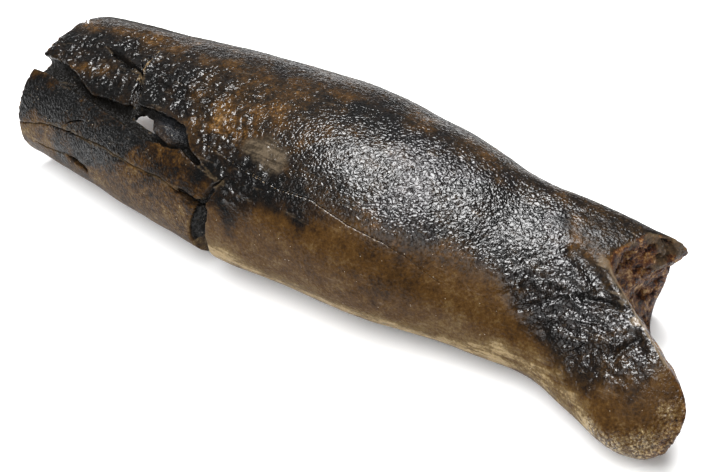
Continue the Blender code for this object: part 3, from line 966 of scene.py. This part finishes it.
def cut_out(piece, sections):
    """Takes a closed strip out of the piece."""
    bm = bmesh.new()
    add_loft(bm, sections)
    bmesh.ops.recalc_face_normals(bm, faces=bm.faces)
    bmesh.ops.triangulate(bm, faces=bm.faces)
    join(piece, bm, "DIFFERENCE")


FRAGMENT_TOP = ((-71, -20, 43), (-64, -21, 43.5), (-57, -23, 43.5), (-54, -26, 42), (-60, -27.5, 41.5),
                (-68, -24.5, 41.5), (-66, -22.5, 44), (-59, -25, 43.8))
FRAGMENT_AREA = ((-66, -22, 43, 5), (-59, -24, 43, 5))
FRAGMENT_LIFT = (0.5, -0.7, 0.7)
FRAGMENT_SINK = (0, 3, -6)


def join_fragment(piece):
    """Joins the small faceted block that is still wedged in the split."""
    bm = bmesh.new()
    for corner in FRAGMENT_TOP:
        top = Vector(corner) + Vector(FRAGMENT_LIFT)
        bm.verts.new(top * MM)
        bm.verts.new((top + Vector(FRAGMENT_SINK)) * MM)
    bmesh.ops.convex_hull(bm, input=bm.verts)
    loose = [v for v in bm.verts if not v.link_faces]
    bmesh.ops.delete(bm, geom=loose, context="VERTS")
    bmesh.ops.triangulate(bm, faces=bm.faces)
    bmesh.ops.recalc_face_normals(bm, faces=bm.faces)
    join(piece, bm, "UNION")


SLIVER = 0.001


def keep_one_shell(piece):
    """Drops the slivers and crumbs that the cuts leave, so that the bone stays one closed shell."""
    bm = bmesh.new()
    bm.from_mesh(piece.data)
    bmesh.ops.triangulate(bm, faces=bm.faces)
    bmesh.ops.dissolve_degenerate(bm, dist=SLIVER * MM, edges=bm.edges)
    shells, rest = [], set(bm.verts)
    while rest:
        shell, front = set(), {next(iter(rest))}
        while front:
            shell |= front
            front = {edge.other_vert(vert) for vert in front for edge in vert.link_edges} - shell
        shells.append(shell)
        rest -= shell
    for crumb in sorted(shells, key=len)[:-1]:
        bmesh.ops.delete(bm, geom=list(crumb), context="VERTS")
    bm.to_mesh(piece.data)
    bm.free()


near_corners = [Vector(corner) for corner in HOLE_NEAR]
far_corners = [Vector(corner) for corner in HOLE_FAR]
raised = [a + (a - b).normalized() * HOLE_RISE for a, b in zip(near_corners, far_corners)]
cut_out(bone, [raised, far_corners])
for crack_depth, crack_path in (*CRACKS, HAIRLINE):
    cut_out(bone, crack_sections(crack_depth, crack_path))
join_fragment(bone)
keep_one_shell(bone)

# The cuts have new walls, so the kinds are laid out again: from the nearest place before, and by depth.
CRACK_DEPTH = (1.0, 1.8)
FRAGMENT_DEPTH = (-3.2, -2.6)
SCRATCH_EDGE = (0.3, 0.9)

final_points = vertex_places(bone.data)
nearest = np.array([kinds_tree.find(p)[1] for p in final_points])
final_kinds = {name: values[nearest] for name, values in kinds.items()}
final_turn, final_radius = turn_and_radius(final_points)
final_depth = level_at(level, final_points[:, 0], final_turn) - final_radius
in_crack = smooth_step(final_depth, *CRACK_DEPTH) * (1 - smooth_step(final_points[:, 0], *SPLIT_TO))
final_kinds["fragment"] = near(FRAGMENT_AREA, final_points) * smooth_step(-final_depth, *FRAGMENT_DEPTH)
# Crack walls sunk below the outside join the walls, and so take their painted shade.
final_kinds["wall"] = np.maximum(final_kinds["wall"], in_crack * (1 - final_kinds["spongy"]))
scratch_tree = search_tree([on_outside(along, turn) for along, turn, _ in finer(HAIRLINE[1], FINE_STRAY)])
final_kinds["scratch"] = 1 - smooth_step(distance_to(scratch_tree, final_points), *SCRATCH_EDGE)
write_kinds(bone.data, final_kinds)
bone.data.shade_smooth()
on_fragment = final_kinds["fragment"] > 0.5
for face in bone.data.polygons:
    face.use_smooth = not all(on_fragment[i] for i in face.vertices)

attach(bone, "root")
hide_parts("metatarsal")

# Floor, light and camera
# White paper that glows a little, under a softbox behind the bone, which makes the long highlight, a broad
# soft fill in front that leaves no reflection, and a smaller lamp that gives the wrinkles their glints.

FLOOR_SIZE = 3000
FLOOR_WHITE = (0.92, 0.92, 0.92, 1)
FLOOR_GLOW = 0.15
PAPER_ROUGHNESS = 0.9
# A lamp is its name, size, power, place and whether the varnish mirrors it.
LAMPS = (
    ("softbox", 440, 13, (-100, 220, 900), True),
    ("fill", 900, 11, (-100, -550, 800), False),
    ("small_lamp", 600, 2.6, (100, -450, 750), True),
)
WORLD_STRENGTH = 0.1
BACKDROP_STRENGTH = 0.2
BACKDROP_WAY = (-0.5, 0.85, 0.1)
BACKDROP_EDGE = (0.3, 0.9)
VIEW_TURN, VIEW_RISE = 34, 38
VIEW_TARGET = (-0.94, -5.24, 14)
VIEW_DISTANCE = 650
LENS = 100
SENSOR = 36


def look_from(place, target):
    """The turn that points a lamp or a camera at its target."""
    return (Vector(target) - Vector(place)).to_track_quat("-Z", "Y").to_euler()


def floor_paper():
    paper = bpy.data.materials.new("white_paper")
    paper.use_nodes = True
    shader = paper.node_tree.nodes["Principled BSDF"]
    shader.inputs["Base Color"].default_value = FLOOR_WHITE
    shader.inputs["Roughness"].default_value = PAPER_ROUGHNESS
    shader.inputs["Specular IOR Level"].default_value = 0.0
    shader.inputs["Emission Color"].default_value = FLOOR_WHITE
    shader.inputs["Emission Strength"].default_value = FLOOR_GLOW
    return paper


bm = bmesh.new()
bmesh.ops.create_grid(bm, x_segments=1, y_segments=1, size=FLOOR_SIZE / 2 * MM)
floor = new_object("floor", bpy.data.meshes.new("floor"))
bm.to_mesh(floor.data)
bm.free()
floor.data.materials.append(floor_paper())

for name, size, power, place, mirrored in LAMPS:
    light = bpy.data.lights.new(name, "AREA")
    light.shape = "SQUARE"
    light.size = size * MM
    light.energy = power
    lamp = new_object(name, light)
    lamp.location = Vector(place) * MM
    lamp.rotation_euler = look_from(place, (0, 0, 0))
    lamp.visible_glossy = mirrored

world = bpy.data.worlds.new("studio")
world.use_nodes = True
sky = world.node_tree
toward = new_node(sky, "ShaderNodeVectorMath", operation="DOT_PRODUCT")
feed(sky, toward.inputs[0], new_node(sky, "ShaderNodeTexCoord").outputs["Generated"])
toward.inputs[1].default_value = Vector(BACKDROP_WAY).normalized()
lit = product(sky, rise(sky, toward.outputs["Value"], *BACKDROP_EDGE), BACKDROP_STRENGTH - WORLD_STRENGTH)
sky.nodes["Background"].inputs["Color"].default_value = (1, 1, 1, 1)
feed(sky, sky.nodes["Background"].inputs["Strength"], calc(sky, "ADD", lit, WORLD_STRENGTH))
bpy.context.scene.world = world

round_by, up_by = math.radians(VIEW_TURN), math.radians(VIEW_RISE)
back = Vector((math.sin(round_by) * math.cos(up_by), -math.cos(round_by) * math.cos(up_by), math.sin(up_by)))
lens = bpy.data.cameras.new("camera")
lens.lens = LENS
lens.sensor_width = SENSOR
camera = new_object("camera", lens)
camera.location = (Vector(VIEW_TARGET) + back * VIEW_DISTANCE) * MM
camera.rotation_euler = look_from(back, (0, 0, 0))
bpy.context.scene.camera = camera
bpy.context.scene.view_settings.view_transform = "Standard"
